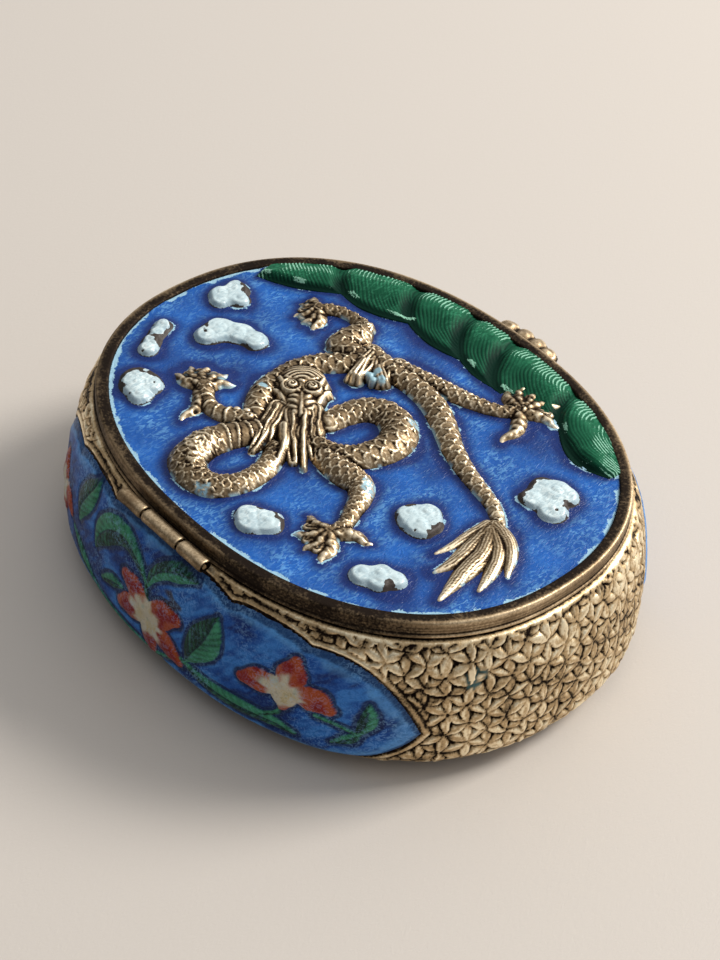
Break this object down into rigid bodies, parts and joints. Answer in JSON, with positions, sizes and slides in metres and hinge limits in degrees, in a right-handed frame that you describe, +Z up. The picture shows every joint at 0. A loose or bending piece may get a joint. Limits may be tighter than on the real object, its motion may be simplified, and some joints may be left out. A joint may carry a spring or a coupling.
{
  "type": "hinged enamelled brass trinket box",
  "caption": "Small oval hinged brass trinket box, a dragon in relief among clouds and waves on its blue enamelled lid, with enamelled flower panels on its sides.",
  "frame": {"origin": "centre of the underside of the box", "axes": "+X along the box's length; -Y is the front with the thumb piece, +Y the back with the hinge; +Z up"},
  "size_m": [0.0768, 0.0636, 0.0243],
  "materials": {
    "body_brass": "aged and chased",
    "lid_brass": "aged dark, rubbed bright on the high places",
    "hinge_brass": "aged",
    "sky_enamel": "opaque blue fired enamel",
    "wave_enamel": "opaque green fired enamel",
    "cloud_enamel": "opaque white fired enamel",
    "panel_enamel": "opaque blue fired enamel with painted flowers"
  },
  "bodies": {
    "box": {"box_body": "body_brass", "body_knuckle_left": "hinge_brass", "body_knuckle_right": "hinge_brass", "hinge_pin": "hinge_brass", "front_panel_enamel": "panel_enamel", "back_panel_enamel": "panel_enamel"},
    "lid": {"lid": "lid_brass", "thumb_piece": "lid_brass", "lid_knuckle": "hinge_brass", "sky_enamel": "sky_enamel", "sky_enamel_in_upper_coil": "sky_enamel", "sky_enamel_in_lower_coil": "sky_enamel", "wave_enamel": "wave_enamel", "cloud_1": "cloud_enamel", "cloud_2": "cloud_enamel", "cloud_3": "cloud_enamel", "cloud_4": "cloud_enamel", "cloud_5": "cloud_enamel", "cloud_6": "cloud_enamel", "cloud_7": "cloud_enamel", "cloud_8": "cloud_enamel"}
  },
  "joints": [
    {"name": "lid_hinge", "type": "hinge", "parent": "box", "child": "lid", "pos_m": [0.001, 0.02945, 0.0204], "axis": [-1, 0, 0], "range_deg": [0, 100]}
  ]
}
